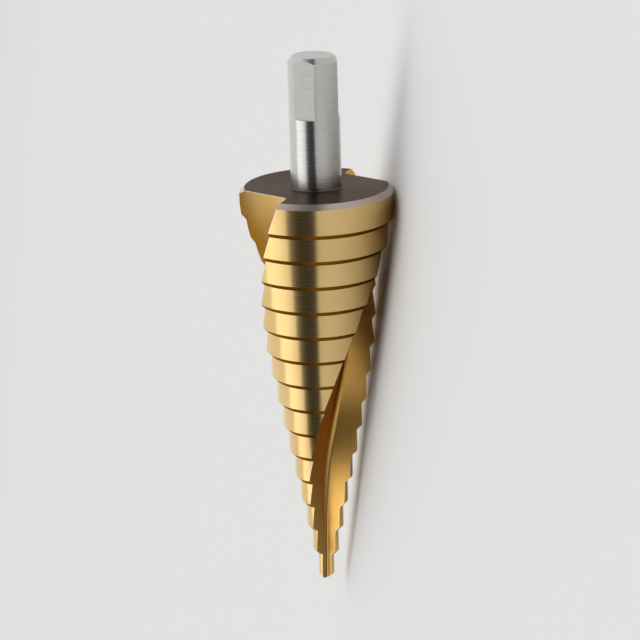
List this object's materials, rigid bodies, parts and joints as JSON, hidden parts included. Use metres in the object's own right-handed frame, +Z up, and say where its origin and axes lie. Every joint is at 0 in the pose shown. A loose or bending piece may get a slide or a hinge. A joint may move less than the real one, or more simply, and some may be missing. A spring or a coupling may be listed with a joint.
{
  "type": "step drill",
  "caption": "Stepped drill for opening round holes in sheet metal, with two helical flutes, a gold-coloured coating and a round shank.",
  "frame": {"origin": "on the bench under the middle of the outline of the drill as it lies", "axes": "+X along the drill from tip to shank, level; +Z up from the bench; -Y is the side that the main view faces"},
  "size_m": [0.1082, 0.0314, 0.0301],
  "materials": {
    "step_drill": "ground high-speed steel with a gold-coloured nitride coating on the stepped body; collar face, rim and shank bare"
  },
  "bodies": {
    "root": {"step_drill": "step_drill"}
  },
  "joints": []
}
